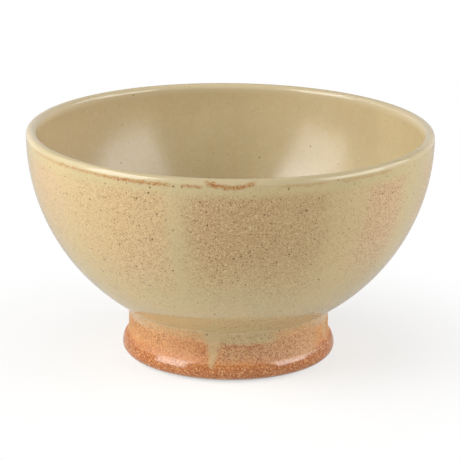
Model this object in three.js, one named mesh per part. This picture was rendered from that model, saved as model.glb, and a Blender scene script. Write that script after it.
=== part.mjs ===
// A footed stoneware bowl: a hemispherical shell and a waisted foot ring, two clay pieces
// luted together with slip, under four coats of glaze. Millimetres, +Z up. The origin is the
// centre of the circle that the foot stands on.
import * as THREE from "three";

// Driving dimensions. Outside sizes are over the fired glaze.
const RIM_DIAMETER = 140; // at the widest circle, just under the lip
const LIP_RISE = 1.8; // crest above the widest circle
const LIP_WIDTH = 3.6; // across the lip, and of the wall below it
const FLOOR_THICKNESS = 6; // in the middle of the bowl
const FOOT_HEIGHT = 17.5; // from the table to the corner under the bowl
const NECK_DIAMETER = 69.6; // the foot's waist, at that corner
const NECK_BASE_HEIGHT = 10.4; // where the waist stops being straight
const BULGE_DIAMETER = 73.9; // the foot's widest circle
const BULGE_HEIGHT = 3.4; // that circle above the table
const UNDERCUT = 5; // how far the foot rounds in below that circle
const BORE_BASE_DIAMETER = 58; // inside the foot ring at the table
const BORE_TOP_DIAMETER = 55; // inside the foot ring under the bowl
const BARE_BAND = 1; // height of the foot that is wiped clean of glaze
const OVERLAP = 2.7; // how far the wall's coat runs down over the foot's waist
const GLAZE = 0.4; // thickness of every coat
const SLIP = 0.5; // thickness of the luting slip

// Facets round the axis, and steps along each stretch of the profile
const FACETS = 60;
const WALL_STEPS = 10;
const SEAT_STEPS = 2;
const RECESS_STEPS = 4;
const LIP_STEPS = 8;
const INSIDE_STEPS = 11;
const COVE_STEPS = 3;
const UNDERCUT_STEPS = 3;
const BARE_STEPS = 2;

// Looks of the fired clay, and of the glaze where it lies thick or breaks to rust
const CLAY = { color: 0xcfc4ae, roughness: 0.85, metalness: 0 };
const SLIP_CLAY = { color: 0xb9ab92, roughness: 0.9, metalness: 0 };
const SAND_GLAZE = { color: 0xc8b78a, roughness: 0.3, metalness: 0 };
const SPECKLED_GLAZE = { color: 0xc3a77a, roughness: 0.38, metalness: 0 };
const RUST_GLAZE = { color: 0xc08050, roughness: 0.35, metalness: 0 };

// Worked out from the driving dimensions. Radii are of the finished, glazed surface.
const rimRadius = RIM_DIAMETER / 2;
const insideRadius = rimRadius - LIP_WIDTH;
const insideDepth = rimRadius - FLOOR_THICKNESS; // below the sphere's centre
const neckRadius = NECK_DIAMETER / 2;
const wallRise = Math.sqrt(rimRadius ** 2 - neckRadius ** 2); // from the waist to the widest circle
const centreHeight = FOOT_HEIGHT + wallRise; // of the sphere that the wall follows
const bulgeRadius = BULGE_DIAMETER / 2;
const standingRadius = bulgeRadius - UNDERCUT; // outer edge of the standing face
const seamHeight = FOOT_HEIGHT - OVERLAP; // where the wall's coat meets the foot's
const boreBaseRadius = BORE_BASE_DIAMETER / 2;
const boreTopRadius = BORE_TOP_DIAMETER / 2;

// Radii of the bare pieces under the glaze
const clayRadius = rimRadius - GLAZE;
const neckClayRadius = neckRadius - GLAZE;
const footSeatRadius = clayRadius + SLIP; // of the dish on top of the foot ring

// Points of an ellipse's arc, from one angle to another. Angle 0 points away from the axis.
function arc(centre, semiRadius, semiHeight, from, to, steps) {
  return Array.from({ length: steps + 1 }, (_, i) => {
    const angle = from + ((to - from) * i) / steps;
    const radius = centre.x + semiRadius * Math.cos(angle);
    const height = centre.y + semiHeight * Math.sin(angle);
    return new THREE.Vector2(radius, height);
  });
}

// Points under a sphere about the bowl's centre, from one distance off the axis to another.
function underside(sphereRadius, fromRadius, toRadius, steps) {
  const centre = new THREE.Vector2(0, centreHeight);
  const from = -Math.acos(fromRadius / sphereRadius);
  const to = -Math.acos(toRadius / sphereRadius);
  return arc(centre, sphereRadius, sphereRadius, from, to, steps);
}

// The stretches below give the same number of points at any depth under the finished
// surface: 0 is the top of the glaze, and GLAZE is the clay under it.

// The bowl's outside, from the foot's waist up to the widest circle.
function wallStretch(depth) {
  return underside(rimRadius - depth, neckRadius - depth, rimRadius - depth, WALL_STEPS);
}

// The lip, from the widest circle over the crest to the inside wall.
function lipStretch(depth) {
  const middle = new THREE.Vector2(rimRadius - LIP_WIDTH / 2, centreHeight);
  return arc(middle, LIP_WIDTH / 2 - depth, LIP_RISE - depth, 0, Math.PI, LIP_STEPS);
}

// The inside, from the lip down to the middle of the floor.
function insideStretch(depth) {
  const centre = new THREE.Vector2(0, centreHeight);
  const points = arc(centre, insideRadius + depth, insideDepth + depth, 0, -Math.PI / 2, INSIDE_STEPS);
  points.at(-1).x = 0;
  return points;
}

// The bowl's underside within the foot ring, from the middle out to the bore.
function recessStretch(depth) {
  const points = underside(rimRadius - depth, 0, boreTopRadius - GLAZE + depth, RECESS_STEPS);
  points[0].x = 0;
  return points;
}

// The ring where the foot is luted to the bowl, from the bore out to the waist.
function seatStretch(sphereRadius) {
  return underside(sphereRadius, boreTopRadius, neckClayRadius, SEAT_STEPS);
}

// The foot's outside, from its widest circle up to its waist: the bulge, then a cove. Both
// arcs have one radius, and they stand upright where they end.
function coveStretch(depth) {
  const spread = bulgeRadius - neckRadius;
  const rise = NECK_BASE_HEIGHT - BULGE_HEIGHT;
  const turn = 2 * Math.atan2(spread, rise);
  const radius = rise / (2 * Math.sin(turn));
  const bulge = new THREE.Vector2(bulgeRadius - radius, BULGE_HEIGHT);
  const cove = new THREE.Vector2(neckRadius + radius, NECK_BASE_HEIGHT);
  return [
    ...arc(bulge, radius - depth, radius - depth, 0, turn, COVE_STEPS),
    ...arc(cove, radius + depth, radius + depth, Math.PI + turn, Math.PI, COVE_STEPS).slice(1),
  ];
}

// The foot's lower round, from one height up to another below its widest circle.
function undercutStretch(depth, fromHeight, toHeight, steps) {
  const centre = new THREE.Vector2(standingRadius, BULGE_HEIGHT);
  const from = -Math.asin(1 - fromHeight / BULGE_HEIGHT);
  const to = -Math.asin(1 - toHeight / BULGE_HEIGHT);
  return arc(centre, UNDERCUT - depth, BULGE_HEIGHT, from, to, steps);
}

// The glazed outside of the foot, from the bare band up to its waist.
function footStretch(depth) {
  return [
    ...undercutStretch(depth, BARE_BAND, BULGE_HEIGHT, UNDERCUT_STEPS),
    ...coveStretch(depth).slice(1),
  ];
}

// The point of the foot's waist at the seam between the wall's coat and the foot's.
function seamPoint(depth) {
  return new THREE.Vector2(neckRadius - depth, seamHeight);
}

// The point of the foot's bore at a height. The bore widens evenly down to the table.
function borePoint(height) {
  const top = seatStretch(footSeatRadius)[0];
  const radius = THREE.MathUtils.lerp(boreBaseRadius, top.x, height / top.y);
  return new THREE.Vector2(radius, height);
}

// A solid turned about Z. The profile's (radius, height) points run counter-clockwise. It is
// closed here, unless it starts and ends on the axis.
function turned(name, profile, look) {
  const onAxis = profile[0].x === 0;
  const points = onAxis ? profile : [...profile, profile[0]];
  const geometry = new THREE.LatheGeometry(points, FACETS).rotateX(Math.PI / 2);
  const mesh = new THREE.Mesh(geometry, new THREE.MeshStandardMaterial(look));
  mesh.name = name;
  return mesh;
}

// The bowl's clay: its underside, wall, lip and inside.
function makeBowlShell() {
  const profile = [
    ...recessStretch(GLAZE),
    ...seatStretch(clayRadius).slice(1),
    ...wallStretch(GLAZE).slice(1),
    ...lipStretch(GLAZE).slice(1),
    ...insideStretch(GLAZE).slice(1),
  ];
  return turned("bowl_shell", profile, CLAY);
}

// The foot's clay: its dished seat, bore, standing face and waisted outside.
function makeFootRing() {
  const profile = [
    ...seatStretch(footSeatRadius).reverse(),
    borePoint(0),
    ...undercutStretch(GLAZE, 0, BARE_BAND, BARE_STEPS),
    ...footStretch(GLAZE).slice(1),
  ];
  return turned("foot_ring", profile, CLAY);
}

// The slip that bonds the foot to the bowl's underside.
function makeLutingSlip() {
  const profile = [...seatStretch(footSeatRadius), ...seatStretch(clayRadius).reverse()];
  return turned("luting_slip", profile, SLIP_CLAY);
}

// The glossy coat on the inside, rolled over the lip.
function makeLinerGlaze() {
  const profile = [
    ...insideStretch(GLAZE).reverse(),
    ...lipStretch(GLAZE).reverse().slice(1),
    ...lipStretch(0),
    ...insideStretch(0).slice(1),
  ];
  return turned("liner_glaze", profile, SAND_GLAZE);
}

// The speckled coat on the outside wall, from the seam on the foot's waist to the lip. It
// covers the slip's outer edge.
function makeWallGlaze() {
  const profile = [
    seamPoint(0),
    ...wallStretch(0),
    ...wallStretch(GLAZE).reverse(),
    seatStretch(footSeatRadius).at(-1),
    seamPoint(GLAZE),
  ];
  return turned("wall_glaze", profile, SPECKLED_GLAZE);
}

// The rust-coloured coat on the foot, from the bare band up to the seam on the waist.
function makeFootGlaze() {
  const profile = [
    ...footStretch(0),
    seamPoint(0),
    seamPoint(GLAZE),
    ...footStretch(GLAZE).reverse(),
  ];
  return turned("foot_glaze", profile, RUST_GLAZE);
}

// The coat under the bowl and down the foot's bore to the bare band. It covers the slip's
// inner edge.
function makeRecessGlaze() {
  const boreEnd = borePoint(BARE_BAND);
  const profile = [
    ...recessStretch(0),
    new THREE.Vector2(boreEnd.x - GLAZE, BARE_BAND),
    boreEnd,
    seatStretch(footSeatRadius)[0],
    ...recessStretch(GLAZE).reverse(),
  ];
  return turned("recess_glaze", profile, SAND_GLAZE);
}

const bowl = new THREE.Group();
bowl.name = "footed_bowl";
bowl.add(
  makeBowlShell(),
  makeFootRing(),
  makeLutingSlip(),
  makeLinerGlaze(),
  makeWallGlaze(),
  makeFootGlaze(),
  makeRecessGlaze(),
);

export default bowl;
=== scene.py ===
"""A footed stoneware bowl in a plain studio.

Lengths are metres in the part's own frame: +Z is up, the origin is at the table under the
middle of the foot, and the viewer is on the -Y side. Angles round the bowl count from the
viewer's side, and grow towards +X, the viewer's right.
"""

import logging
import math
from dataclasses import dataclass
from enum import Enum
from functools import reduce
from typing import Any, ClassVar, Iterable, Sequence

import bpy
from mathutils import Matrix, Vector


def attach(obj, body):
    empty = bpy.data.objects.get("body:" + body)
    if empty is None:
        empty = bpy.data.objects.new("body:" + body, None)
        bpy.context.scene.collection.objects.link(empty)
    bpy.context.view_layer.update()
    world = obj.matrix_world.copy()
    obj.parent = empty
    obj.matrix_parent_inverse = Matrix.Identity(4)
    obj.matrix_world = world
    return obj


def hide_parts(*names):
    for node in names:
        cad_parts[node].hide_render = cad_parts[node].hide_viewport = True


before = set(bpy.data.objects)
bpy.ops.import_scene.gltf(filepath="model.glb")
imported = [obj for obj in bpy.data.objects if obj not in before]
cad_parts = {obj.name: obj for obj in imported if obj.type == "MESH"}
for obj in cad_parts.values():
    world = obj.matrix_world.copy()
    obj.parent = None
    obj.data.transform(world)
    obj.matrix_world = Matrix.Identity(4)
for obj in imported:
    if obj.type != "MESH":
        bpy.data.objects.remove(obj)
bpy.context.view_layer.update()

log = logging.getLogger("footed_bowl")

MM = 0.001
BODY = "root"
SAME_POINT = 1e-7  # points nearer than this count as one

Point = tuple[float, float]
Colour = tuple[float, float, float]

WHITE: Colour = (1.0, 1.0, 1.0)


# Node graphs


class Value:
    """A number that flows through a node tree, written with Python's own operators."""

    def __init__(self, graph: "Graph", socket: bpy.types.NodeSocket) -> None:
        """Wrap an output socket of a graph's tree."""
        self.graph = graph
        self.socket = socket

    def _math(self, operation: str, *operands: Any) -> "Value":
        """Add one Math node and return its result."""
        return self.graph.math(operation, *operands)

    def __add__(self, other: Any) -> "Value":
        """Sum."""
        return self._math("ADD", self, other)

    __radd__ = __add__

    def __sub__(self, other: Any) -> "Value":
        """Difference."""
        return self._math("SUBTRACT", self, other)

    def __rsub__(self, other: Any) -> "Value":
        """Difference from a plain number."""
        return self._math("SUBTRACT", other, self)

    def __mul__(self, other: Any) -> "Value":
        """Product."""
        return self._math("MULTIPLY", self, other)

    __rmul__ = __mul__

    def __truediv__(self, other: Any) -> "Value":
        """Quotient."""
        return self._math("DIVIDE", self, other)

    def __pow__(self, other: Any) -> "Value":
        """Power."""
        return self._math("POWER", self, other)

    def __neg__(self) -> "Value":
        """Opposite."""
        return self._math("MULTIPLY", self, -1.0)

    def __abs__(self) -> "Value":
        """Size without sign."""
        return self._math("ABSOLUTE", self)

    def __gt__(self, other: Any) -> "Value":
        """1 where this is the greater, else 0."""
        return self._math("GREATER_THAN", self, other)

    def __lt__(self, other: Any) -> "Value":
        """1 where this is the smaller, else 0."""
        return self._math("LESS_THAN", self, other)

    def most(self, other: Any) -> "Value":
        """The greater of the two."""
        return self._math("MAXIMUM", self, other)

    def least(self, other: Any) -> "Value":
        """The smaller of the two."""
        return self._math("MINIMUM", self, other)

    def clamp(self) -> "Value":
        """Held between 0 and 1."""
        return self.most(0.0).least(1.0)

    def ramp(self, low: Any, high: Any) -> "Value":
        """A smooth step from 0 at low to 1 at high, which may be the lesser of the two."""
        return self.graph.node(
            "ShaderNodeMapRange",
            {"Value": self, "From Min": low, "From Max": high},
            interpolation_type="SMOOTHSTEP",
        ).value("Result")


def in_use(sockets: Iterable[bpy.types.NodeSocket], name: str | int) -> bpy.types.NodeSocket:
    """Find one of a node's sockets, among those in use.

    Args:
        sockets: the node's inputs or outputs.
        name: the socket's name, or its place among those in use.

    Returns:
        The socket.
    """
    usable = [socket for socket in sockets if socket.enabled]
    if isinstance(name, int):
        return usable[name]
    return next(socket for socket in usable if socket.name == name)


class Made:
    """A node that a graph has added, with its outputs by name."""

    def __init__(self, graph: "Graph", node: bpy.types.Node) -> None:
        """Remember the node and the graph it belongs to."""
        self.graph = graph
        self.node = node

    def out(self, name: str | int = 0) -> bpy.types.NodeSocket:
        """An output socket, by its name or its place."""
        return in_use(self.node.outputs, name)

    def value(self, name: str | int = 0) -> Value:
        """An output as a number that can be reckoned with."""
        return Value(self.graph, self.out(name))


class Graph:
    """A node tree under construction, of a material, the world or a modifier."""

    def __init__(self, tree: bpy.types.NodeTree) -> None:
        """Start from an empty tree."""
        self.tree = tree
        tree.nodes.clear()

    def node(
        self, kind: str, inputs: dict[str | int, Any] | None = None, **settings: Any
    ) -> Made:
        """Add one node of any kind.

        Args:
            kind: the node's type name.
            inputs: values or links, by the sockets' names or places.
            settings: the node's own properties, which are set first.

        Returns:
            The node, with its outputs at hand.
        """
        node = self.tree.nodes.new(kind)
        for name, setting in settings.items():
            setattr(node, name, setting)
        for name, given in (inputs or {}).items():
            self._feed(in_use(node.inputs, name), given)
        return Made(self, node)

    def _feed(self, socket: bpy.types.NodeSocket, given: Any) -> None:
        """Link or set one input.

        Args:
            socket: the input.
            given: what another node gives, or a plain number, colour or vector.
        """
        if isinstance(given, Value):
            given = given.socket
        elif isinstance(given, Made):
            given = given.out()
        if isinstance(given, bpy.types.NodeSocket):
            self.tree.links.new(given, socket)
        elif socket.type == "RGBA":
            socket.default_value = (*given, 1.0)
        else:
            socket.default_value = given

    def math(self, operation: str, *operands: Any) -> Value:
        """Add one Math node and return its result."""
        inputs = dict(enumerate(operands))
        return self.node("ShaderNodeMath", inputs, operation=operation).value()

    def vector_math(self, operation: str, inputs: dict[str | int, Any]) -> Made:
        """Add one Vector Math node."""
        return self.node("ShaderNodeVectorMath", inputs, operation=operation)

    def mix_colour(self, factor: Any, first: Any, second: Any) -> bpy.types.NodeSocket:
        """Blend two colours, from the first at 0 to the second at 1."""
        inputs = {"Factor": factor, "A": first, "B": second}
        return self.node("ShaderNodeMix", inputs, data_type="RGBA").out("Result")

    def noise(self, place: Any, scale: float, detail: float, seed: Any) -> Value:
        """Soft noise about 0.5, in one pattern of many."""
        inputs = {"Vector": place, "W": seed, "Scale": scale, "Detail": detail}
        return self.node("ShaderNodeTexNoise", inputs, noise_dimensions="4D").value()

    def axes(self, vector: Any) -> list[Value]:
        """A vector's X, Y and Z."""
        parts = self.node("ShaderNodeSeparateXYZ", {0: vector})
        return [parts.value(name) for name in "XYZ"]

    def vector(self, x: Any, y: Any, z: Any) -> Made:
        """A vector with these parts."""
        return self.node("ShaderNodeCombineXYZ", {"X": x, "Y": y, "Z": z})

    def reach(self, x: Value, y: Value) -> Value:
        """How far a place is from the bowl's axis."""
        return self.math("SQRT", x * x + y * y)

    def angle(self, x: Value, y: Value) -> Value:
        """A place's angle round the bowl, in radians."""
        return self.math("ARCTAN2", x, -y)


# The bowl's form


def arc(centre: Point, semi: Point, start: float, end: float, step: float) -> list[Point]:
    """Points of an ellipse's arc in the (radius, height) plane.

    Args:
        centre: the ellipse's centre.
        semi: its half-width and half-height.
        start: the first angle, in radians from the outward direction.
        end: the last angle.
        step: the longest distance between neighbours.

    Returns:
        The points, both ends included.
    """
    count = max(2, math.ceil(abs(end - start) * max(semi) / step))
    angles = [start + (end - start) * i / count for i in range(count + 1)]
    return [(centre[0] + semi[0] * math.cos(a), centre[1] + semi[1] * math.sin(a)) for a in angles]


def line(start: Point, end: Point, step: float) -> list[Point]:
    """Points of a straight stretch.

    Args:
        start: the first point.
        end: the last point.
        step: the longest distance between neighbours.

    Returns:
        The points, both ends included.
    """
    count = max(1, math.ceil(math.dist(start, end) / step))
    shares = [i / count for i in range(count + 1)]
    return [tuple(a + (b - a) * s for a, b in zip(start, end)) for s in shares]


def chain(*stretches: Iterable[Point]) -> list[Point]:
    """Join stretches end to end.

    Args:
        stretches: each one's points, in order.

    Returns:
        All their points, with none repeated.
    """
    points: list[Point] = []
    for stretch in stretches:
        for point in stretch:
            if not points or math.dist(point, points[-1]) > SAME_POINT:
                points.append(point)
    return points


@dataclass(frozen=True)
class BowlForm:
    """Sizes of the bowl over its glaze, and the stretches of its turned profile.

    A stretch lies a given depth under the finished surface: 0 is the top of the glaze, and
    the glaze's own thickness is the clay.
    """

    rim_radius: float = 70 * MM
    lip_rise: float = 1.8 * MM
    lip_width: float = 3.6 * MM
    floor_thickness: float = 6 * MM
    foot_height: float = 17.5 * MM
    neck_radius: float = 34.8 * MM
    neck_base: float = 10.4 * MM
    bulge_radius: float = 36.95 * MM
    bulge_height: float = 3.4 * MM
    undercut: float = 5 * MM
    bore_base_radius: float = 29 * MM
    bore_top_radius: float = 27.5 * MM
    bare_band: float = 1 * MM
    overlap: float = 2.7 * MM
    glaze: float = 0.4 * MM
    slip: float = 0.5 * MM
    pool: float = 1.6 * MM
    step: float = 0.8 * MM
    fine_step: float = 0.3 * MM

    @property
    def centre(self) -> Point:
        """Centre of the sphere that the wall follows."""
        rise = math.sqrt(self.rim_radius**2 - self.neck_radius**2)
        return 0.0, self.foot_height + rise

    @property
    def seam_height(self) -> float:
        """Height on the waist where the wall's coat ends and the foot's begins."""
        return self.foot_height - self.overlap

    @property
    def clay_radius(self) -> float:
        """Radius of the bowl's clay, outside."""
        return self.rim_radius - self.glaze

    def under(self, sphere: float, start: float, end: float) -> list[Point]:
        """The underside of a sphere about the centre, between two distances off the axis."""
        first, last = (-math.acos(min(1.0, r / sphere)) for r in (start, end))
        return arc(self.centre, (sphere, sphere), first, last, self.step)

    def wall(self, depth: float) -> list[Point]:
        """The outside, from the waist up to the widest circle."""
        sphere = self.rim_radius - depth
        return self.under(sphere, self.neck_radius - depth, sphere)

    def pooled_wall(self) -> list[Point]:
        """The glazed outside, with a pool of glaze in the corner.

        Returns:
            The points, from the seam up to the widest circle.
        """
        low, high = self.neck_radius, self.rim_radius
        middle_r = low + self.pool
        drop = math.sqrt((high + self.pool) ** 2 - middle_r**2)
        middle = (middle_r, self.centre[1] - drop)
        touch = math.atan2(drop, -middle_r)
        fillet = arc(middle, (self.pool, self.pool), math.pi, touch, self.fine_step)
        start = middle_r * high / (high + self.pool)
        waist = line((low, self.seam_height), (low, middle[1]), self.fine_step)
        return chain(waist, fillet, self.under(high, start, high))

    def lip(self, depth: float) -> list[Point]:
        """The lip.

        Args:
            depth: how far under the finished surface it lies.

        Returns:
            The points, from the widest circle over the crest to the inside.
        """
        middle = (self.rim_radius - self.lip_width / 2, self.centre[1])
        semi = (self.lip_width / 2 - depth, self.lip_rise - depth)
        return arc(middle, semi, 0.0, math.pi, self.fine_step)

    def inside(self, depth: float) -> list[Point]:
        """The inside.

        Args:
            depth: how far under the finished surface it lies.

        Returns:
            The points, from the lip down to the middle of the floor.
        """
        across = self.rim_radius - self.lip_width + depth
        down = self.rim_radius - self.floor_thickness + depth
        points = arc(self.centre, (across, down), 0.0, -math.pi / 2, self.step)
        return [*points[:-1], (0.0, points[-1][1])]

    def recess(self, depth: float) -> list[Point]:
        """The underside within the foot, from the middle out to the bore."""
        points = self.under(self.rim_radius - depth, 0.0, self.bore_top_radius - self.glaze + depth)
        return [(0.0, points[0][1]), *points[1:]]

    def seat(self, sphere: float) -> list[Point]:
        """The ring where the foot is luted on, from the bore out to the waist."""
        return self.under(sphere, self.bore_top_radius, self.neck_radius - self.glaze)

    def cove(self, depth: float) -> list[Point]:
        """The foot's bulge and the cove above it, two arcs of one radius.

        Args:
            depth: how far under the finished surface they lie.

        Returns:
            The points, from the widest circle up to the waist.
        """
        rise = self.neck_base - self.bulge_height
        turn = 2 * math.atan2(self.bulge_radius - self.neck_radius, rise)
        radius = rise / (2 * math.sin(turn))
        bulge = (self.bulge_radius - radius, self.bulge_height)
        hollow = (self.neck_radius + radius, self.neck_base)
        out, into = radius - depth, radius + depth
        return chain(
            arc(bulge, (out, out), 0.0, turn, self.fine_step),
            arc(hollow, (into, into), math.pi + turn, math.pi, self.fine_step),
        )

    def round_under(self, depth: float, start: float, end: float) -> list[Point]:
        """The foot's lower round.

        Args:
            depth: how far under the finished surface it lies.
            start: the height it starts at.
            end: the height it goes up to.

        Returns:
            The points.
        """
        middle = (self.bulge_radius - self.undercut, self.bulge_height)
        first, last = (-math.asin(1 - h / self.bulge_height) for h in (start, end))
        semi = (self.undercut - depth, self.bulge_height)
        return arc(middle, semi, first, last, self.fine_step)

    def foot(self, depth: float) -> list[Point]:
        """The glazed outside of the foot.

        Args:
            depth: how far under the finished surface it lies.

        Returns:
            The points, from the bare band up to the seam.
        """
        waist = self.neck_radius - depth
        return chain(
            self.round_under(depth, self.bare_band, self.bulge_height),
            self.cove(depth),
            line((waist, self.neck_base), (waist, self.seam_height), self.fine_step),
        )

    def bore(self, height: float) -> Point:
        """The point of the foot's bore at a height. The bore widens evenly down to the table."""
        top = self.seat(self.clay_radius + self.slip)[0]
        return self.bore_base_radius + (top[0] - self.bore_base_radius) * height / top[1], height


# Where the glaze is thin or has run


def away_from(angle: Value, degrees: float) -> Value:
    """How far an angle round the bowl is from a place given in degrees, in radians."""
    return abs(angle.graph.math("WRAP", angle - math.radians(degrees), math.pi, -math.pi))


def above(height: Value, low: float, fade: float) -> Value:
    """1 above a height and 0 below it, fading over a distance on both sides of it."""
    return height.ramp(low - fade, low + fade)


def strongest(masks: Iterable[Value]) -> Value:
    """The greatest of some masks at each place."""
    return reduce(Value.most, masks)


@dataclass(frozen=True)
class Sector:
    """A stretch of the way round the bowl, by degrees to both sides of its middle."""

    middle: float
    none: float
    full: float

    def mask(self, angle: Value) -> Value:
        """0 where the stretch ends and 1 where it is full."""
        away = away_from(angle, self.middle)
        return away.ramp(math.radians(self.none), math.radians(self.full))


FLOODED = Sector(6.0, 28.0, 14.0)  # the sand glaze lies thick over the waist
# Painted sheen: the waist is paler towards the sides and back; the dark rust on the foot reaches
# higher there.
SIDES_AND_BACK = Sector(0.0, 46.0, 64.0)  # the waist is a paler tan
FADED = Sector(0.0, 10.0, 65.0)  # the rust fades above the bulge
STREWN = Sector(34.0, 44.0, 32.0)  # specks lie low on the wall
SAGGING = Sector(14.0, 24.0, 12.0)  # the seam hangs lower


class Tint(Enum):
    """The colour that the wall's glaze breaks to where it is thin, in linear light."""

    TAN = (0.535, 0.372, 0.188)
    BROWN = (0.460, 0.314, 0.150)
    ROSE = (0.530, 0.358, 0.205)


@dataclass(frozen=True)
class Patch:
    """A place on the wall where the glaze is thin: angles in degrees, lower end in metres."""

    angle: float
    half_width: float
    tint: Tint
    weight: float = 1.0
    edge: float = 4.0
    low: float = 44 * MM
    fade: float = 11 * MM
    stipple: float = 1.0

    def mask(self, angle: Value, height: Value) -> Value:
        """How thin the glaze is at a place, from 0 to the patch's weight."""
        spread = Sector(self.angle, self.half_width + self.edge, self.half_width - self.edge)
        return spread.mask(angle) * above(height, self.low, self.fade) * self.weight


@dataclass(frozen=True)
class Drip:
    """Sand glaze that has run down the foot: angles in degrees, tip's height in metres."""

    angle: float
    half_width: float
    tip: float
    weight: float = 1.0
    taper: ClassVar[float] = 1.5
    tip_width: ClassVar[float] = 0.38
    soft: ClassVar[tuple[float, float]] = (-0.02, 0.025)  # radians out of and into its edge
    fade: ClassVar[float] = 0.5 * MM

    def mask(self, angle: Value, height: Value, top: float) -> Value:
        """How thick the drip lies at a place.

        Args:
            angle: the angle round the bowl.
            height: the height above the table.
            top: the height that it runs down from.

        Returns:
            The drip's thickness, from 0 to its weight.
        """
        share = ((height - self.tip) / (top - self.tip)).clamp()
        widening = share**self.taper * (1 - self.tip_width) + self.tip_width
        half = widening * math.radians(self.half_width)
        side = (half - away_from(angle, self.angle)).ramp(*self.soft)
        return side * above(height, self.tip, self.fade) * self.weight


@dataclass(frozen=True)
class Veil:
    """A thin wash of sand glaze over the foot: angles in degrees, lower end in metres."""

    angle: float
    half_width: float
    low: float
    weight: float
    outer: ClassVar[float] = 1.15  # where it is gone, in half-widths
    inner: ClassVar[float] = 0.8  # where it is full
    fade: ClassVar[float] = 1.2 * MM

    def mask(self, angle: Value, height: Value) -> Value:
        """How much of the wash lies at a place, from 0 to its weight."""
        spread = Sector(self.angle, self.half_width * self.outer, self.half_width * self.inner)
        return spread.mask(angle) * above(height, self.low, self.fade) * self.weight


@dataclass(frozen=True)
class Dash:
    """A stroke of rust along an edge: angles in degrees, the rest but its weight in metres."""

    angle: float
    half_span: float
    weight: float
    dip: float = 0.0
    half_width: float = 0.5 * MM
    rise: float = 0.0
    across: ClassVar[tuple[float, float]] = (1.6, 0.2)  # gone and full, in half-widths
    along: ClassVar[tuple[float, float]] = (1.1, 0.7)  # gone and full, in half-spans

    def mask(self, angle: Value, height: Value, edge: float) -> Value:
        """How strongly the stroke shows at a place.

        Args:
            angle: the angle round the bowl.
            height: the height above the table.
            edge: the height of the edge that it follows.

        Returns:
            The stroke's strength, from 0 to its weight.
        """
        share = away_from(angle, self.angle) / math.radians(self.half_span)
        sag = (1 - share * share).most(0.0) * self.dip
        off = abs(height - (edge + self.rise - sag))
        body = off.ramp(*(self.half_width * end for end in self.across))
        return body * share.ramp(*self.along) * self.weight


WALL_PATCHES = (
    Patch(-64.0, 11.0, Tint.ROSE, 0.6, 9.0, 50 * MM, 16 * MM, 0.6),
    Patch(-39.0, 12.0, Tint.TAN, 0.55, 7.0, 42 * MM, 14 * MM, 0.9),
    Patch(-26.0, 9.0, Tint.TAN, 0.8, 4.0, 42 * MM, 13 * MM),
    Patch(2.5, 14.0, Tint.BROWN, 1.0, 5.5, 44 * MM, 16 * MM),
    Patch(21.0, 7.0, Tint.BROWN, 0.8, 4.5, 43 * MM, 16 * MM),
    Patch(34.0, 6.0, Tint.TAN, 0.3, 4.0, 42 * MM, 14 * MM),
    Patch(48.0, 8.5, Tint.ROSE, 0.85, 4.5, 45 * MM, 13 * MM),
    Patch(79.0, 11.0, Tint.TAN, 0.75, 6.0, 46 * MM, 12 * MM),
    Patch(106.0, 13.0, Tint.BROWN, 1.0, 3.5, 41 * MM, 14 * MM),
    Patch(135.0, 9.0, Tint.ROSE, 0.6, 6.5, 49 * MM, 13 * MM, 0.7),
    Patch(163.0, 16.0, Tint.BROWN, 0.95, 4.0, 43 * MM, 15 * MM),
    Patch(-166.0, 8.0, Tint.TAN, 0.6, 6.0, 50 * MM, 12 * MM),
    Patch(-134.0, 18.0, Tint.BROWN, 0.95, 4.0, 42 * MM, 15 * MM),
    Patch(-98.0, 12.0, Tint.TAN, 0.7, 7.0, 46 * MM, 13 * MM, 0.8),
)
FOOT_DRIPS = (
    Drip(-8.4, 4.6, 5.2 * MM),
    Drip(72.0, 4.4, 7.5 * MM, 0.8),
    Drip(118.0, 6.0, 4.6 * MM),
    Drip(176.0, 4.6, 6.8 * MM, 0.9),
    Drip(-128.0, 5.4, 5.6 * MM),
    Drip(-84.0, 4.0, 8.0 * MM, 0.8),
)
FOOT_VEILS = (
    Veil(14.0, 19.0, 7.0 * MM, 0.6),
    Veil(44.0, 15.0, 6.4 * MM, 0.65),
    Veil(140.0, 17.0, 6.6 * MM, 0.6),
    Veil(-107.0, 16.0, 7.6 * MM, 0.55),
)
FOOT_LINES = (
    Dash(8.0, 12.0, 0.55),
    Dash(94.0, 10.0, 0.5),
    Dash(-160.0, 13.0, 0.55),
)
LIP_DASHES = (
    Dash(-60.0, 9.0, 0.35),
    Dash(-47.0, 8.0, 0.55),
    Dash(-35.0, 7.0, 0.65),
    Dash(-24.0, 8.5, 0.9, 0.0, 0.6 * MM),
    Dash(-10.0, 3.0, 0.7),
    Dash(0.2, 7.0, 1.0, 1.6 * MM, 0.75 * MM, 1.6 * MM),
    Dash(20.0, 7.0, 0.3),
    Dash(40.0, 10.0, 0.35),
    Dash(84.0, 9.0, 0.6),
    Dash(112.0, 14.0, 0.75),
    Dash(150.0, 7.0, 0.5),
    Dash(-164.0, 13.0, 0.7, 0.4 * MM, 0.6 * MM),
    Dash(-118.0, 10.0, 0.6),
    Dash(-90.0, 6.0, 0.8),
)


# Turned pieces


def put(name: str, data: bpy.types.ID) -> bpy.types.Object:
    """Put a new object in the scene.

    Args:
        name: the object's name.
        data: its mesh, lamp or lens.

    Returns:
        The object, at the origin.
    """
    thing = bpy.data.objects.new(name, data)
    bpy.context.scene.collection.objects.link(thing)
    return thing


class Side(Enum):
    """Which side of a coat stands proud where the glaze has run."""

    NONE = 0.0
    OUTSIDE = 1.0


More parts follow.
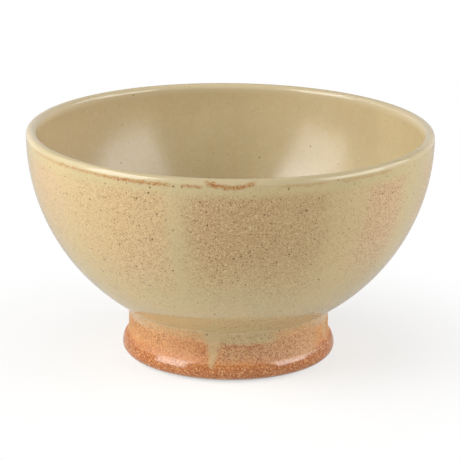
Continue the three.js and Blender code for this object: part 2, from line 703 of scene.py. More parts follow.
class Wheel:
    """The rule that turns a profile into a piece, as a geometry node tree.

    A piece starts as its profile, a chain of points in the XZ plane. The tree turns it about
    Z, gives it the slight unevenness of a thrown pot, thickens the glaze where it has run,
    and dresses it in its material.
    """

    sockets: ClassVar[dict[str, str]] = {
        "Profile": "NodeSocketGeometry",
        "Facets": "NodeSocketInt",
        "Wobble": "NodeSocketFloat",
        "Relief": "NodeSocketFloat",
        "Seed": "NodeSocketFloat",
        "Material": "NodeSocketMaterial",
    }
    seed: ClassVar[float] = 4.0
    merge_distance: ClassVar[float] = 1e-6
    sharp_angle: ClassVar[float] = math.radians(40)
    wobble: ClassVar[float] = 0.12 * MM
    wobble_size: ClassVar[float] = 45 * MM
    still_radius: ClassVar[float] = 10 * MM  # within it the wobble dies out
    seam_drift: ClassVar[float] = 0.9 * MM
    drift_waves: ClassVar[float] = 2.2
    drift_seed: ClassVar[float] = 3.0
    drift_share: ClassVar[float] = 1.2
    sag_share: ClassVar[float] = 1.4
    corner_gap: ClassVar[float] = 0.3 * MM  # the drift ends this far below the corner
    seam_core: ClassVar[float] = 0.2 * MM  # and is full this near the seam
    waist_depth: ClassVar[float] = 2 * MM  # and reaches this far under the waist
    relief: ClassVar[float] = 0.1 * MM
    relief_gap: ClassVar[float] = 0.2 * MM  # the drips' relief ends this far below the seam

    def __init__(self, form: BowlForm) -> None:
        """Build the tree for a bowl of this form."""
        self.form = form
        self.tree = bpy.data.node_groups.new("turned_piece", "GeometryNodeTree")
        self.inputs: dict[str, str] = {}
        self._build()

    def _build(self) -> None:
        """Lay out the tree."""
        graph, interface = Graph(self.tree), self.tree.interface
        for name, kind in self.sockets.items():
            item = interface.new_socket(name, in_out="INPUT", socket_type=kind)
            self.inputs[name] = item.identifier
        interface.new_socket("Piece", in_out="OUTPUT", socket_type="NodeSocketGeometry")
        given = graph.node("NodeGroupInput")
        turned = self._revolve(graph, given)
        thrown = self._throw(graph, given, turned)
        run = self._thicken(graph, given, thrown)
        angle = graph.node("GeometryNodeInputMeshEdgeAngle").value("Unsigned Angle")
        shading = "GeometryNodeSetShadeSmooth"
        smooth = graph.node(shading, {0: run, "Shade Smooth": True}, domain="FACE")
        sharp = {0: smooth, "Selection": angle > self.sharp_angle, "Shade Smooth": False}
        creased = graph.node(shading, sharp, domain="EDGE")
        whole = graph.node("GeometryNodeRealizeInstances", {"Geometry": creased})
        dress = {"Geometry": whole, "Material": given.out("Material")}
        graph.node("NodeGroupOutput", {"Piece": graph.node("GeometryNodeSetMaterial", dress)})

    def _revolve(self, graph: Graph, given: Made) -> Made:
        """Wrap a grid round the axis, with a column for each facet and the profile's rows.

        Args:
            graph: the tree to add to.
            given: the tree's inputs.

        Returns:
            The turned piece.
        """
        profile, facets = given.out("Profile"), given.value("Facets")
        size = graph.node(
            "GeometryNodeAttributeDomainSize", {"Geometry": profile}, component="MESH"
        )
        rows = size.value("Point Count")
        grid = graph.node(
            "GeometryNodeMeshGrid",
            {"Size X": 1.0, "Size Y": 1.0, "Vertices X": facets + 1, "Vertices Y": rows},
        )
        index = graph.node("GeometryNodeInputIndex").value()
        column = graph.math("FLOOR", (index + 0.5) / rows)
        position = graph.node("GeometryNodeInputPosition")
        point = graph.node(
            "GeometryNodeSampleIndex",
            {"Geometry": profile, "Value": position, "Index": index - column * rows},
            data_type="FLOAT_VECTOR",
            domain="POINT",
        )
        radius, _, height = graph.axes(point)
        angle = column / facets * (2 * math.pi)
        sine, cosine = graph.math("SINE", angle), graph.math("COSINE", angle)
        place = graph.vector(radius * sine, radius * cosine * -1.0, height)
        wrapped = graph.node(
            "GeometryNodeSetPosition", {"Geometry": grid.out("Mesh"), "Position": place}
        )
        seam = {"Geometry": wrapped, "Distance": self.merge_distance}
        return graph.node("GeometryNodeMergeByDistance", seam)

    def _throw(self, graph: Graph, given: Made, piece: Made) -> Made:
        """Swell and pinch a piece slightly, and let the seam on the waist wander.

        Args:
            graph: the tree to add to.
            given: the tree's inputs.
            piece: the turned piece.

        Returns:
            The piece as a hand would throw it.
        """
        position = graph.node("GeometryNodeInputPosition")
        x, y, z = graph.axes(position)
        radius, angle, seed = graph.reach(x, y), graph.angle(x, y), given.value("Seed")
        wave = graph.noise(position, 1 / self.wobble_size, 1.0, seed)
        swell = (wave - 0.5) * 2.0 * given.value("Wobble") / radius.most(self.still_radius)
        around = graph.vector(graph.math("SINE", angle), graph.math("COSINE", angle), 0.0)
        wander = graph.noise(around, self.drift_waves, 2.0, seed + self.drift_seed)
        off = abs(z - self.form.seam_height)
        near = off.ramp(self.form.overlap - self.corner_gap, self.seam_core)
        near = near * (radius > self.form.neck_radius - self.waist_depth)
        sag = SAGGING.mask(angle) * self.sag_share
        drift = ((wander - 0.5) * self.drift_share + sag) * near * -self.seam_drift
        shift = graph.vector(x * swell, y * swell, drift)
        return graph.node("GeometryNodeSetPosition", {"Geometry": piece, "Offset": shift})

    def _thicken(self, graph: Graph, given: Made, piece: Made) -> Made:
        """Raise the outside of a coat where the glaze has run.

        Args:
            graph: the tree to add to.
            given: the tree's inputs.
            piece: the thrown piece.

        Returns:
            The piece with its drips in relief.
        """
        position = graph.node("GeometryNodeInputPosition")
        normal = graph.node("GeometryNodeInputNormal")
        x, y, z = graph.axes(position)
        angle, top = graph.angle(x, y), self.form.seam_height
        outward = graph.vector_math("DOT_PRODUCT", {0: position, 1: normal}).value("Value")
        drips = strongest(drip.mask(angle, z, top) for drip in FOOT_DRIPS)
        lift = drips * (z < top - self.relief_gap) * (outward > 0.0) * given.value("Relief")
        raised = graph.vector_math("SCALE", {0: normal, "Scale": lift})
        return graph.node("GeometryNodeSetPosition", {"Geometry": piece, "Offset": raised})

    def turn(
        self,
        name: str,
        profile: Sequence[Point],
        material: bpy.types.Material,
        facets: int,
        side: Side,
    ) -> bpy.types.Object:
        """Turn one piece and leave it as a plain mesh.

        Args:
            name: the piece's name.
            profile: (radius, height) points, counter-clockwise round the section.
            material: the piece's finish.
            facets: how many facets go round the axis.
            side: which side is raised where the glaze has run.

        Returns:
            The piece, at the origin, with no modifier left.
        """
        closed = list(profile) if profile[0][0] == 0.0 else [*profile, profile[0]]
        mesh = bpy.data.meshes.new(name + "_profile")
        edges = [(i, i + 1) for i in range(len(closed) - 1)]
        mesh.from_pydata([(r, 0.0, z) for r, z in closed], edges, [])
        piece = put(name, mesh)
        modifier = piece.modifiers.new("turned", "NODES")
        modifier.node_group = self.tree
        settings = {
            "Facets": facets,
            "Wobble": self.wobble,
            "Relief": self.relief * side.value,
            "Seed": self.seed,
            "Material": material,
        }
        for label, setting in settings.items():
            modifier[self.inputs[label]] = setting
        depsgraph = bpy.context.evaluated_depsgraph_get()
        turned = bpy.data.meshes.new_from_object(piece.evaluated_get(depsgraph))
        piece.modifiers.remove(modifier)
        piece.data = turned
        turned.name = name
        bpy.data.meshes.remove(mesh)
        return piece


# Finishes


@dataclass(frozen=True)
class Palette:
    """Colours of the fired glaze and clay, some of them painted shade and sheen, in linear light.
    """

    sand: Colour = (0.515, 0.405, 0.212)
    sand_green: Colour = (0.490, 0.400, 0.214)
    honey: Colour = (0.560, 0.455, 0.260)
    olive: Colour = (0.515, 0.415, 0.235)
    # painted shade for the left wall of the inside
    painted_left_shade: Colour = (0.508, 0.398, 0.238)
    # crest is the lip's front, darkened as painted shade against the light on its top; lip is its
    # paler sides, partly painted sheen
    crest: Colour = (0.525, 0.434, 0.256)
    lip: Colour = (0.645, 0.545, 0.365)
    cream: Colour = (0.640, 0.510, 0.300)
    speck: Colour = (0.230, 0.115, 0.036)
    umber: Colour = (0.150, 0.072, 0.022)
    iron: Colour = (0.080, 0.038, 0.012)
    rust: Colour = (0.400, 0.170, 0.045)
    orange: Colour = (0.500, 0.182, 0.051)
    apricot: Colour = (0.560, 0.330, 0.125)
    ember: Colour = (0.330, 0.092, 0.016)
    tan: Colour = (0.500, 0.340, 0.185)
    waist: Colour = (0.580, 0.325, 0.142)
    # wash is the paler tan of the waist at the sides and back, a painted sheen
    wash: Colour = (0.550, 0.365, 0.205)
    flood: Colour = (0.505, 0.382, 0.196)
    peach: Colour = (0.660, 0.370, 0.155)
    soot: Colour = (0.200, 0.060, 0.012)
    clay: Colour = (0.600, 0.500, 0.360)
    blush: Colour = (0.640, 0.440, 0.290)
    grog: Colour = (0.420, 0.320, 0.210)
    slip: Colour = (0.480, 0.390, 0.270)


PALETTE = Palette()


class Finish:
    """A procedural material: what its surface shows at each place of the bowl.

    A noise is given by its size, detail and pattern, and specks by their spacing, largest
    radius, share and pattern. A layer's number is the share of its colour at full strength.
    """

    name: ClassVar[str] = "finish"
    relief: ClassVar[float] = 0.008 * MM
    ior: ClassVar[float] = 1.5
    scatter_way: ClassVar[tuple[float, float, float]] = (1.0, 0.3, 0.7)
    speck_least: ClassVar[float] = 0.5
    speck_edge: ClassVar[float] = 0.3
    rust_drop: ClassVar[float] = 0.65 * MM  # the lip's rust lies this far below the widest circle
    rust_depth: ClassVar[float] = 1.2 * MM  # and reaches this far in from it

    def __init__(self, form: BowlForm) -> None:
        """Build the material for a bowl of this form."""
        self.form = form
        self.material = bpy.data.materials.new(self.name)
        self.material.use_nodes = True
        self.graph = Graph(self.material.node_tree)
        self.place = self.graph.node("ShaderNodeTexCoord").out("Object")
        self.x, self.y, self.z = self.graph.axes(self.place)
        self.angle = self.graph.angle(self.x, self.y)
        self._dress()

    def _dress(self) -> None:
        """Lay out the nodes. Each finish has its own."""
        raise NotImplementedError

    def noise(self, size: float, detail: float, seed: float, tall: float = 1.0) -> Value:
        """Soft noise about 0.5.

        Args:
            size: the patches' size in metres.
            detail: how many finer layers are added.
            seed: which pattern of many.
            tall: how many times taller than wide the patches are.

        Returns:
            The noise.
        """
        place: Any = self.place
        if tall != 1.0:
            squeeze = (1.0, 1.0, 1.0 / tall)
            place = self.graph.vector_math("MULTIPLY", {0: self.place, 1: squeeze})
        return self.graph.noise(place, 1.0 / size, detail, seed)

    def uneven(
        self, amount: float, size: float, detail: float, seed: float, tall: float = 1.0
    ) -> Value:
        """Soft noise about 0, as wide as an amount, and else as noise() makes it."""
        return (self.noise(size, detail, seed, tall) - 0.5) * amount

    def specks(self, spacing: float, radius: float, share: float, seed: float) -> Value:
        """Round specks of uneven size, scattered at random.

        Args:
            spacing: about how far apart they could lie, in metres.
            radius: the largest speck's radius, in metres.
            share: the share of places that hold a speck.
            seed: which scatter of many.

        Returns:
            1 on a speck and 0 between specks.
        """
        shift = tuple(seed * way for way in self.scatter_way)
        place = self.graph.vector_math("ADD", {0: self.place, 1: shift})
        cells = self.graph.node(
            "ShaderNodeTexVoronoi",
            {"Vector": place, "Scale": 1.0 / spacing},
            voronoi_dimensions="3D",
            feature="F1",
        )
        away = cells.value("Distance") * spacing
        chance = self.graph.node("ShaderNodeSeparateColor", {0: cells.out("Color")})
        least, edge = self.speck_least * radius, self.speck_edge * radius
        size = chance.value("Green") * (radius - least) + least
        held = chance.value("Red") < share
        return (size - away).ramp(-edge, edge) * held

    def layered(self, base: Any, *layers: tuple[Value, Any]) -> Any:
        """Lay colours over a colour.

        Args:
            base: the colour underneath.
            layers: (mask, colour) pairs, from the lowest to the topmost.

        Returns:
            The colour that shows.
        """
        for mask, colour in layers:
            base = self.graph.mix_colour(mask, base, colour)
        return base

    def surface(self, colour: Any, roughness: Any, height: Value) -> None:
        """Finish the material with a shader.

        Args:
            colour: the base colour.
            roughness: the roughness.
            height: the relief that the light shows, as a share of its depth.
        """
        relief = {"Strength": 1.0, "Distance": self.relief, "Height": height}
        bump = self.graph.node("ShaderNodeBump", relief)
        inputs = {"Base Color": colour, "Roughness": roughness, "IOR": self.ior, "Normal": bump}
        shader = self.graph.node("ShaderNodeBsdfPrincipled", inputs)
        self.graph.node("ShaderNodeOutputMaterial", {"Surface": shader}, target="ALL")

    def waist_colour(self, thick: Value) -> Any:
        """The colour of the foot's waist, by how thick the sand glaze lies there."""
        # Painted sheen: the waist is paler towards the sides and back.
        paler = (SIDES_AND_BACK.mask(self.angle), PALETTE.wash)
        return self.layered(PALETTE.waist, paler, (thick, PALETTE.flood))

    def lip_rust(self, base: Any) -> Any:
        """Lay broken strokes of rust along the lip's outer edge.

        Args:
            base: the colour under the rust.

        Returns:
            The colour with the rust on it.
        """
        edge = self.form.centre[1] - self.rust_drop
        height = self.z + self.uneven(1.6 * MM, 1.6 * MM, 3.0, 7.0)
        inner = self.form.rim_radius - self.rust_depth
        outside = self.x * self.x + self.y * self.y > inner**2
        strokes = strongest(dash.mask(self.angle, height, edge) for dash in LIP_DASHES)
        broken = self.noise(2.2 * MM, 2.0, 9.0).ramp(0.26, 0.46)
        grain = self.noise(0.5 * MM, 0.5, 12.0)
        shown = strokes * outside * broken
        return self.layered(
            base,
            (shown * (grain.ramp(0.3, 0.55) * 0.5 + 0.4), PALETTE.rust),
            (shown * grain.ramp(0.53, 0.62) * 0.55, PALETTE.soot),
        )


class LinerGlaze(Finish):
    """The glossy sand glaze inside, paler on the lip, with a few iron specks."""

    name = "liner_glaze"

    def _dress(self) -> None:
        """Lay out the nodes."""
        edge = self.form.centre[1]
        lip = self.z.ramp(edge - 2.2 * MM, edge + 0.3 * MM)
        mottle = self.noise(16 * MM, 3.0, 1.0).ramp(0.3, 0.7)
        streak = self.noise(4 * MM, 2.0, 2.0, tall=5.0).ramp(0.45, 0.8)
        grain = self.noise(1.1 * MM, 2.0, 5.0)
        # Painted shade: the inside turns darker and greyer towards its left wall, away from the key
        # lamp.
        painted_left_shade = self.x.ramp(-18 * MM, -58 * MM)
        # The lip is paler at its sides, less at the back and least at the front: partly thin glaze,
        # partly painted sheen where the lip is seen edge-on. The front keeps the darker crest,
        # painted shade against the light that falls on its top.
        thin_glaze_and_sheen = self.y.ramp(-36 * MM, -8 * MM) * (1 - self.y.ramp(15 * MM, 60 * MM) * 0.65)
        fine = self.specks(1.8 * MM, 0.26 * MM, 0.22, 1.0)
        large = self.specks(4.6 * MM, 0.34 * MM, 0.45, 2.0)
        base = self.layered(
            PALETTE.olive,
            (mottle, PALETTE.honey),
            (streak * 0.3, Tint.TAN.value),
            (painted_left_shade * 0.9, PALETTE.painted_left_shade),
            (grain.ramp(0.5, 0.75) * 0.4, Tint.TAN.value),
            (grain.ramp(0.5, 0.25) * 0.3, PALETTE.cream),
            (lip, self.layered(PALETTE.crest, (thin_glaze_and_sheen, PALETTE.lip))),
            (fine * 0.45, PALETTE.speck),
            (large * 0.75, PALETTE.iron),
        )
        roughness = self.noise(6 * MM, 2.0, 3.0) * 0.06 + 0.2 - lip * 0.12
        self.surface(self.lip_rust(base), roughness, self.noise(5 * MM, 1.0, 4.0))


class WallGlaze(Finish):
    """The satin sand glaze outside: greenish and smooth where it runs thick, stippled with
    brown where it is thin."""

    name = "wall_glaze"
    stipple_reach: ClassVar[float] = 7 * MM

    def patches(self, extra: float) -> list[tuple[Patch, Value]]:
        """The thin patches, with edges that wander.

        Args:
            extra: how much lower each one reaches than it says.

        Returns:
            Each patch with its mask.
        """
        edge = self.form.centre[1]
        wander = self.uneven(0.14, 12 * MM, 3.0, 1.0, tall=2.5)
        frayed = self.uneven(0.1, 2.5 * MM, 2.0, 2.0)
        sagging = self.uneven(16 * MM, 10 * MM, 3.0, 3.0)
        below_lip = (self.z + sagging * 0.2).ramp(edge - 2.0 * MM, edge - 5.8 * MM)
        angle, height = self.angle + wander + frayed, self.z + sagging + extra
        return [(patch, patch.mask(angle, height) * below_lip) for patch in WALL_PATCHES]

    def _dress(self) -> None:
        """Lay out the nodes."""
        corner = self.form.foot_height
        stippled = self.patches(self.stipple_reach)
        uneven = self.noise(4 * MM, 2.0, 6.0) - 0.5
        waist = (self.z + uneven * (2 * MM)).ramp(corner + 0.8 * MM, corner - 1.2 * MM)
        thick = FLOODED.mask(self.angle + uneven * 0.3)
        strewn = STREWN.mask(self.angle) * self.z.ramp(corner + 15 * MM, corner + 7 * MM) * 0.7
        thin = strongest(mask * patch.stipple for patch, mask in stippled)
        thin = thin.most(waist * (1 - thick) * 0.6).most(strewn)
        mottle = self.noise(14 * MM, 3.0, 5.0).ramp(0.35, 0.65)
        # Glaze pooled in the corner, painted a little paler: partly the pool's own colour, partly
        # painted light that lifts the crease's shade.
        pooled_and_lifted = abs(self.z - corner - 0.2 * MM).ramp(1.5 * MM, 0.3 * MM)
        pale = self.noise(0.48 * MM, 0.5, 8.0).ramp(0.52, 0.64)
        dark = self.noise(0.48 * MM, 0.5, 11.0).ramp(0.54, 0.64)
        dots = self.specks(0.8 * MM, 0.25 * MM, 0.55, 3.0)
        middling = self.specks(1.3 * MM, 0.28 * MM, 0.6, 4.0)
        large = self.specks(2.6 * MM, 0.34 * MM, 0.7, 5.0)
        base = self.layered(
            PALETTE.sand,
            (mottle, PALETTE.sand_green),
            *((mask, patch.tint.value) for patch, mask in self.patches(0.0)),
            (waist * 0.92, self.waist_colour(thick)),
            (pooled_and_lifted * 0.15, PALETTE.cream),
            (pale * (thin * 0.4 + 0.14), PALETTE.cream),
            (dark * (thin * 0.38 + 0.1), PALETTE.speck),
            (dots * (thin * 0.5 + 0.12), PALETTE.speck),
            (middling * (thin * 0.65 + 0.25), PALETTE.umber),
            (large * 0.85, PALETTE.iron),
        )
        roughness = self.noise(5 * MM, 2.0, 9.0) * 0.04 + thin * 0.1 + pooled_and_lifted * 0.15 + 0.09
        swell = self.noise(5 * MM, 1.0, 10.0) + (dark - pale) * thin * -0.5
        self.surface(self.lip_rust(base), roughness, swell)


class FootGlaze(Finish):
    """The glaze on the foot, broken to rust, under drips of the sand glaze from above. It is
    glossy on the bulge and satin in the cove."""

    name = "foot_glaze"
    relief = 0.012 * MM
    ior = 1.65
    line_drop: ClassVar[float] = 2.6 * MM

    def _dress(self) -> None:
        """Lay out the nodes."""
        seam, band = self.form.seam_height, self.form.bare_band
        angle = self.angle + self.uneven(0.09, 3 * MM, 3.0, 1.0)
        height = self.z + self.uneven(2.4 * MM, 2.0 * MM, 3.0, 2.0)
        drips = strongest(drip.mask(angle, height, seam) for drip in FOOT_DRIPS)
        veil = strongest(wash.mask(angle, height) for wash in FOOT_VEILS)
        level, edge = height + self.uneven(2 * MM, 6 * MM, 1.0, 4.0), seam - self.line_drop
        lines = strongest(dash.mask(angle, level, edge) for dash in FOOT_LINES)
        thick = FLOODED.mask(angle)
        waist = (height - seam).ramp((thick * 2.0 + 1.4) * -MM, 0.0)
        deep = (height - SIDES_AND_BACK.mask(angle) * (2.2 * MM)).ramp(6.4 * MM, 4.6 * MM)
        faded = height.ramp(7.5 * MM, 9.5 * MM) * (FADED.mask(angle) * 0.4 + 0.15)
        bare = 1 - drips.most(waist * thick * 0.7) * 0.65
        wiped = self.z.ramp(band + 0.8 * MM, band)
        cove = self.z.ramp(5.9 * MM, 7.3 * MM)
        mottle = self.noise(7 * MM, 3.0, 3.0).ramp(0.35, 0.65)
        pale = self.noise(0.52 * MM, 0.5, 6.0).ramp(0.52, 0.64)
        dark = self.noise(0.52 * MM, 0.5, 7.0).ramp(0.5, 0.6)
        dots = self.specks(0.75 * MM, 0.28 * MM, 0.7, 8.0)
        large = self.specks(3.2 * MM, 0.36 * MM, 0.3, 9.0)
        base = self.layered(
            PALETTE.orange,
            (mottle * 0.3, PALETTE.peach),
            (deep * 0.52, PALETTE.ember),
            (faded, PALETTE.apricot),
            (veil, PALETTE.tan),
            (waist * 0.92, self.waist_colour(thick)),
            (lines, PALETTE.ember),
            (drips * 0.8, PALETTE.flood),
            (pale * bare * (0.42 + deep * 0.4), PALETTE.peach),
            (dark * bare * (0.55 + deep * 0.35), PALETTE.ember),
            (dots * bare * 0.85, PALETTE.soot),
            (large * 0.7, PALETTE.iron),
            (wiped * 0.8, PALETTE.clay),
        )
        roughness = self.noise(4 * MM, 2.0, 9.0) * 0.06 + veil * 0.2 + cove * 0.48 + 0.09
        swell = self.noise(3 * MM, 1.0, 10.0) + (pale - dark) * bare * 0.3
        self.surface(base, roughness, swell)


class RecessGlaze(Finish):
    """The thin sand glaze under the bowl, inside the foot."""

    name = "recess_glaze"
    relief = 0.01 * MM

    def _dress(self) -> None:
        """Lay out the nodes."""
        band = self.form.bare_band
        thin = self.noise(9 * MM, 3.0, 1.0).ramp(0.4, 0.65)
        dark = self.noise(0.8 * MM, 1.0, 2.0).ramp(0.54, 0.66)
        large = self.specks(3.8 * MM, 0.45 * MM, 0.5, 2.0)
        base = self.layered(
            PALETTE.sand,
            (thin, Tint.TAN.value),
            (dark * (thin * 0.5 + 0.1), PALETTE.speck),
            (large * 0.75, PALETTE.iron),
            (self.z.ramp(band + 1.2 * MM, band) * 0.7, PALETTE.orange),
        )
        roughness = self.noise(5 * MM, 2.0, 3.0) * 0.08 + thin * 0.08 + 0.14
        self.surface(base, roughness, self.noise(4 * MM, 1.0, 4.0))


class BareClay(Finish):
    """Fired stoneware with no glaze: matt, gritty and speckled with grog."""

    name = "clay"
    relief = 0.06 * MM
    colour: ClassVar[Colour] = PALETTE.clay

    def _dress(self) -> None:
        """Lay out the nodes."""
        mottle = self.noise(6 * MM, 4.0, 1.0)
        grog = self.specks(1.6 * MM, 0.4 * MM, 0.5, 1.0)
        grit = self.noise(0.5 * MM, 3.0, 2.0)
        base = self.layered(
            self.colour,
            (mottle.ramp(0.3, 0.7) * 0.35, PALETTE.blush),
            (grog * 0.6, PALETTE.grog),
        )
        self.surface(base, mottle * 0.15 + 0.75, grit - grog * 0.3)


class LutingSlip(BareClay):
    """Fired slip, darker than the clay it bonds."""

    name = "slip"
    colour = PALETTE.slip


# The bowl


@dataclass
class Turnery:
    """Pieces of the bowl that are turned on one wheel."""

    form: BowlForm
    wheel: Wheel

    def _turn(
        self, node: str, profile: list[Point], finish: Finish, facets: int, side: Side = Side.NONE
    ) -> bpy.types.Object:
        """Turn one piece and let it stand for its CAD node.

        Args:
            node: the CAD node's name.
            profile: the piece's section.
            finish: its finish.
            facets: how many facets go round the axis.
            side: which side is raised where the glaze has run.

        Returns:
            The piece, on its body.
        """
        piece = self.wheel.turn(node + "_fine", profile, finish.material, facets, side)
        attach(piece, BODY)
        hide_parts(node)
        return piece


@dataclass
class ClayBody(Turnery):
    """The two thrown pieces and the slip between them."""

    facets: int = 192

    def build(self) -> dict[str, bpy.types.Object]:
        """Turn the clay pieces.

        Returns:
            The pieces, by the CAD node that each stands for.
        """
        clay, slip, facets = BareClay(self.form), LutingSlip(self.form), self.facets
        sections = {
            "bowl_shell": (self._shell(), clay, facets),
            "foot_ring": (self._foot(), clay, facets),
            "luting_slip": (self._slip(), slip, facets),
        }
        return {node: self._turn(node, *section) for node, section in sections.items()}

    def _shell(self) -> list[Point]:
        """The bowl's section: underside, wall, lip and inside.

        Returns:
            The section's points.
        """
        form, depth = self.form, self.form.glaze
        return chain(
            form.recess(depth),
            form.seat(form.clay_radius),
            form.wall(depth),
            form.lip(depth),
            form.inside(depth),
        )

    def _foot(self) -> list[Point]:
        """The foot's section: seat, bore, standing face and outside.

        Returns:
            The section's points.
        """
        form, depth = self.form, self.form.glaze
        inner, outer = form.bore(0.0), form.round_under(depth, 0.0, form.bare_band)
        return chain(
            reversed(form.seat(form.clay_radius + form.slip)),
            line(form.bore(form.bare_band), inner, form.fine_step),
            line(inner, outer[0], form.fine_step),
            outer,
            form.foot(depth),
        )

    def _slip(self) -> list[Point]:
        """The slip's section, between the two seats."""
        form = self.form
        return chain(form.seat(form.clay_radius + form.slip), reversed(form.seat(form.clay_radius)))


@dataclass
class GlazeCoats(Turnery):
    """The four coats of glaze over the clay."""

    facets: int = 240
    foot_facets: int = 360

    def build(self) -> dict[str, bpy.types.Object]:
        """Turn the coats.

        Returns:
            The coats, by the CAD node that each stands for.
        """
        form, facets = self.form, self.facets
        sections = {
            "liner_glaze": (self._liner(), LinerGlaze(form), facets),
            "wall_glaze": (self._wall(), WallGlaze(form), facets),
            "foot_glaze": (self._foot(), FootGlaze(form), self.foot_facets, Side.OUTSIDE),
            "recess_glaze": (self._recess(), RecessGlaze(form), facets),
        }
        return {node: self._turn(node, *section) for node, section in sections.items()}

    def _liner(self) -> list[Point]:
        """The liner's section, from the floor over the lip and back.

        Returns:
            The section's points.
        """
        form, depth = self.form, self.form.glaze
        return chain(
            reversed(form.inside(depth)),
            reversed(form.lip(depth)),
            form.lip(0.0),
            form.inside(0.0),
        )

    def _wall(self) -> list[Point]:
        """The wall coat's section, from the seam on the waist up to the lip and back.

        Returns:
            The section's points.
        """
        form = self.form
        clay = form.wall(form.glaze)
        seam = (clay[0][0], form.seam_height)
        return chain(form.pooled_wall(), reversed(clay), line(clay[0], seam, form.fine_step))

    def _foot(self) -> list[Point]:
        """The foot coat's section, from the bare band up to the seam and back."""
        return chain(self.form.foot(0.0), reversed(self.form.foot(self.form.glaze)))

    def _recess(self) -> list[Point]:
        """The recess coat's section, from the middle out, down the bore and back.

        Returns:
            The section's points.
        """
        form, depth = self.form, self.form.glaze
        end = form.bore(form.bare_band)
        inner = form.recess(0.0)
        edge = form.seat(form.clay_radius + form.slip)[0]
        return chain(
            inner,
            line(inner[-1], (end[0] - depth, end[1]), form.fine_step),
            line(end, edge, form.fine_step),
            reversed(form.recess(depth)),
        )


# The studio


@dataclass(frozen=True)
class Softbox:
    """A soft rectangular lamp aimed at the bowl. Angles are in degrees, as seen from it."""

    name: str
    angle: float
    elevation: float
    width: float
    height: float
    radiance: float
    colour: Colour = WHITE
    distance: float = 0.8
    aim: float = 0.05

    def build(self) -> None:
        """Make the lamp."""
        lamp = bpy.data.lights.new(self.name, "AREA")
        lamp.shape = "RECTANGLE"
        lamp.size = 2 * self.distance * math.tan(math.radians(self.width / 2))
        lamp.size_y = 2 * self.distance * math.tan(math.radians(self.height / 2))
        lamp.energy = self.radiance * math.pi * lamp.size * lamp.size_y
        lamp.color = self.colour
        around, up = math.radians(self.angle), math.radians(self.elevation)
        level = math.cos(up)
        way = Vector((math.sin(around) * level, -math.cos(around) * level, math.sin(up)))
        stand = put(self.name, lamp)
        stand.location = Vector((0.0, 0.0, self.aim)) + way * self.distance
        stand.rotation_euler = way.to_track_quat("Z", "Y").to_euler()
        stand.visible_camera = False


@dataclass(frozen=True)
class Viewpoint:
    """Where the picture is taken from, and how wide the view is."""

    distance: float = 0.9
    elevation: float = 16.44
    roll: float = 0.628
    pivot_height: float = 38 * MM
    aim_up: float = 5.24 * MM
    aim_right: float = 0.19 * MM
    focal_pixels: float = 2591.1
    image_width: float = 460.0
    sensor_width: float = 36.0
    clip: tuple[float, float] = (0.01, 50.0)

    def build(self) -> None:
        """Make the camera and use it."""
        up_angle, roll = math.radians(self.elevation), math.radians(self.roll)
        right = Vector((1.0, 0.0, 0.0))
        up = Vector((0.0, math.sin(up_angle), math.cos(up_angle)))
        pivot = Vector((0.0, 0.0, self.pivot_height))
        spot = pivot + right.cross(up) * self.distance
        back = (spot - (pivot + up * self.aim_up + right * self.aim_right)).normalized()
        level = up.cross(back).normalized()
        upright = back.cross(level)
        right = level * math.cos(roll) + upright * math.sin(roll)
        turned = Matrix((right, back.cross(right), back)).transposed()
        lens = bpy.data.cameras.new("viewer")
        lens.sensor_width = self.sensor_width
        lens.lens = self.focal_pixels * self.sensor_width / self.image_width
        lens.clip_start, lens.clip_end = self.clip
        camera = put("viewer", lens)
        camera.matrix_world = Matrix.Translation(spot) @ turned.to_4x4()
        bpy.context.scene.camera = camera


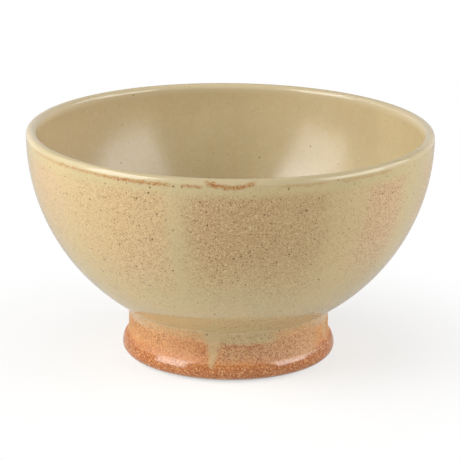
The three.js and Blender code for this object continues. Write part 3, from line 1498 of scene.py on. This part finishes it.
@dataclass(frozen=True)
class Studio:
    """A white table and surround, soft lamps on both sides and the viewer's place."""

    lamps: tuple[Softbox, ...] = (
        Softbox("key_softbox", -64.0, 15.0, 36.0, 34.0, 4.9, (1.0, 0.988, 0.97)),
        Softbox("high_softbox", -64.0, 41.0, 36.0, 18.0, 8.2, (1.0, 0.988, 0.97)),
        Softbox("left_reflector", -100.0, 40.0, 34.0, 38.0, 1.7),
        Softbox("side_softbox", 72.0, 24.0, 38.0, 36.0, 4.85, (1.0, 0.988, 0.975)),
        Softbox("right_softbox", 104.0, 28.0, 26.0, 30.0, 3.0, (1.0, 0.988, 0.975)),
    )
    viewpoint: Viewpoint = Viewpoint()
    ambient: float = 0.1
    mirrored: float = 0.6
    below: float = 0.6
    ceiling: float = 0.3
    ceiling_rise: tuple[float, float] = (0.2, 0.65)
    table_half: float = 3.0
    table_drop: float = 0.03 * MM
    open_radius: float = 32.2 * MM
    table_colour: Colour = (0.9, 0.9, 0.9)
    table_glow: float = 0.6
    lit_radius: float = 0.03
    white_radius: float = 0.13

    def build(self) -> None:
        """Make the lamps, the surround, the table and the camera."""
        bpy.context.scene.view_settings.view_transform = "Standard"
        for lamp in self.lamps:
            lamp.build()
        self._surround()
        self._table()
        self.viewpoint.build()

    def _surround(self) -> None:
        """White where it is seen, dimmer overhead in reflections, and a plain fill elsewhere."""
        world = bpy.data.worlds.new("surround")
        world.use_nodes = True
        graph = Graph(world.node_tree)
        rise = graph.axes(graph.node("ShaderNodeTexCoord").out("Generated"))[2]
        path = graph.node("ShaderNodeLightPath")
        glossy = path.value("Is Glossy Ray")
        shown = path.value("Is Camera Ray").most(path.value("Is Transmission Ray"))
        dimming = 1 - rise.ramp(*self.ceiling_rise) * (1.0 - self.ceiling)
        fill = (rise < 0.0) * self.below + self.ambient
        strength = shown.most(glossy * dimming * self.mirrored).most(fill * (1 - glossy))
        light = graph.node("ShaderNodeBackground", {"Color": WHITE, "Strength": strength})
        graph.node("ShaderNodeOutputWorld", {"Surface": light})
        bpy.context.scene.world = world

    def _table(self) -> bpy.types.Object:
        """A flat table.

        Returns:
            The table, just under the foot.
        """
        half, drop = self.table_half, -self.table_drop
        mesh = bpy.data.meshes.new("table")
        corners = [(-half, -half), (half, -half), (half, half), (-half, half)]
        mesh.from_pydata([(x, y, drop) for x, y in corners], [], [(0, 1, 2, 3)])
        mesh.materials.append(self._table_finish())
        return put("table", mesh)

    def _table_finish(self) -> bpy.types.Material:
        """A pale finish that takes the bowl's shadow and goes to white further out.

        It is clear from below and inside the foot, where the underside can be looked at.

        Returns:
            The table's material.
        """
        material = bpy.data.materials.new("table")
        material.use_nodes = True
        graph = Graph(material.node_tree)
        x, y, _ = graph.axes(graph.node("ShaderNodeTexCoord").out("Object"))
        reach = graph.reach(x, y)
        far = reach.ramp(self.lit_radius, self.white_radius)
        path = graph.node("ShaderNodeLightPath")
        glossy = path.value("Is Glossy Ray")
        straight = path.value("Is Camera Ray").most(path.value("Is Transmission Ray"))
        shown = (far * (1.0 - self.table_glow) + self.table_glow) * straight.most(glossy)
        grey = (self.mirrored, self.mirrored, self.mirrored)
        glow = graph.mix_colour(straight, grey, WHITE)
        lit = graph.node("ShaderNodeBsdfDiffuse", {"Color": self.table_colour})
        white = graph.node("ShaderNodeEmission", {"Color": glow, "Strength": 1.0})
        both = graph.node("ShaderNodeMixShader", {0: shown, 1: lit, 2: white})
        behind = graph.node("ShaderNodeNewGeometry").value("Backfacing")
        opening = behind.most(reach < self.open_radius)
        clear = graph.node("ShaderNodeBsdfTransparent")
        whole = graph.node("ShaderNodeMixShader", {0: opening, 1: both, 2: clear})
        graph.node("ShaderNodeOutputMaterial", {"Surface": whole}, target="ALL")
        return material


def main() -> None:
    """Build the bowl and its studio, and report each piece."""
    logging.basicConfig(level=logging.INFO, format="%(name)s: %(message)s")
    form = BowlForm()
    wheel = Wheel(form)
    pieces = {**ClayBody(form, wheel).build(), **GlazeCoats(form, wheel).build()}
    for node, piece in pieces.items():
        log.info("%s stands for %s: %d faces", piece.name, node, len(piece.data.polygons))
    Studio().build()


if __name__ == "__main__":
    main()
